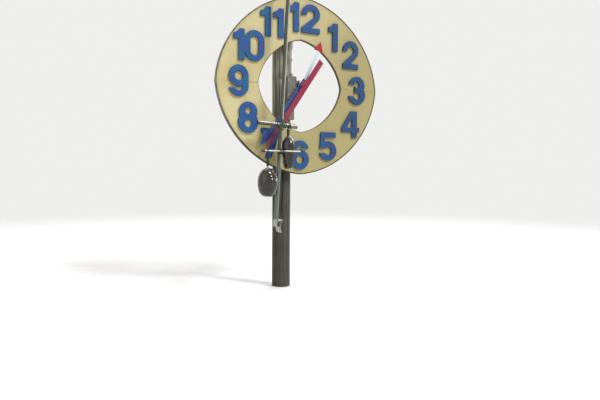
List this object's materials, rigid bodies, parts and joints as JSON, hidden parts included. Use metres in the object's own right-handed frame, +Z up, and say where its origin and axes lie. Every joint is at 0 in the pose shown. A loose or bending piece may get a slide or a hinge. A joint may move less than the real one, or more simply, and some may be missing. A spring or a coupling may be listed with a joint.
{
  "type": "water-driven pendulum clock on a timber post",
  "caption": "Outdoor clock with a ring dial and raised numerals on a timber post, driven by a long water-struck pendulum that hangs in front of the hands.",
  "frame": {"origin": "centre of the post's foot, on the ground", "axes": "+Z up the post, -Y out of the dial's face, +X to the right seen from the front"},
  "size_m": [2.448, 0.861, 4.6],
  "materials": {
    "timber_post": "weathered grey round timber with drying checks",
    "timber_beam": "weathered sawn timber",
    "dial_paint": "boards painted cream yellow, faded, satin",
    "rim_dark": "bent timber edging, painted dark, worn",
    "lining_paint": "brown-olive painted lining",
    "rib_timber": "unpainted framing timber",
    "galvanised": "dull galvanised steel",
    "numeral_paint": "cut figures painted blue",
    "box_grey": "grey enamelled steel",
    "dark_iron": "dark oiled iron",
    "hour_pale": "pale blue-white paint, glossy",
    "arrow_red": "red paint",
    "minute_blue": "blue paint",
    "sweep_red": "crimson paint",
    "pin_steel": "bright steel",
    "pipe_green": "green-grey painted pipe, wet",
    "fitting_green": "green painted cast fitting",
    "tube_galvanised": "galvanised tube, wet",
    "coupling_white": "white plastic",
    "cap_red": "dark red cap",
    "weight_dark": "dark brown-grey, wet and glossy",
    "paddle_steel": "galvanised plate"
  },
  "bodies": {
    "frame": {"post": "timber_post", "crossarm_top": "timber_beam", "crossarm_bottom": "timber_beam", "dial_upper": "dial_paint", "dial_lower": "dial_paint", "rim_hoop": "rim_dark", "hole_lining": "lining_paint", "ribs_upper": "rib_timber", "ribs_lower": "rib_timber", "splices": "galvanised", "numeral_1": "numeral_paint", "numeral_2": "numeral_paint", "numeral_3": "numeral_paint", "numeral_4": "numeral_paint", "numeral_5": "numeral_paint", "numeral_6": "numeral_paint", "numeral_7": "numeral_paint", "numeral_8": "numeral_paint", "numeral_9": "numeral_paint", "numeral_10": "numeral_paint", "numeral_11": "numeral_paint", "numeral_12": "numeral_paint", "clockwork_box": "box_grey", "box_shelf": "timber_beam", "bearing_block": "dark_iron", "drive_pipe": "galvanised", "pipe_clips": "galvanised", "suspension_beam": "timber_beam", "pivot_bracket": "dark_iron", "pivot_pin": "pin_steel"},
    "hour": {"hour_hand": "hour_pale", "hour_arrow": "arrow_red"},
    "minute": {"minute_hand": "minute_blue"},
    "sweep": {"sweep_hand": "sweep_red"},
    "pendulum": {"pendulum_head": "pipe_green", "pendulum_rod": "pipe_green", "cross_fitting": "fitting_green", "cross_tube": "tube_galvanised", "end_coupling": "coupling_white", "lower_rod": "tube_galvanised", "rod_end_cap": "cap_red", "lower_clamp": "fitting_green", "weight_right": "weight_dark", "weight_left": "weight_dark", "paddle": "paddle_steel"}
  },
  "joints": [
    {"name": "pendulum_swing", "type": "hinge", "parent": "frame", "child": "pendulum", "pos_m": [-0.09165, -0.485, 4.3], "axis": [0, -1, 0], "range_deg": [-1, 7]},
    {"name": "minute_turn", "type": "hinge", "parent": "frame", "child": "minute", "pos_m": [0.195, -0.311, 2.82], "axis": [0, 1, 0], "continuous": true},
    {"name": "hour_turn", "type": "hinge", "parent": "frame", "child": "hour", "pos_m": [0.195, -0.285, 2.82], "axis": [0, 1, 0], "continuous": true},
    {"name": "sweep_turn", "type": "hinge", "parent": "frame", "child": "sweep", "pos_m": [0.195, -0.355, 2.82], "axis": [0, 1, 0], "continuous": true}
  ],
  "couplings": [
    {"joint": "hour_turn", "follows": "minute_turn", "ratio": 0.083333}
  ]
}
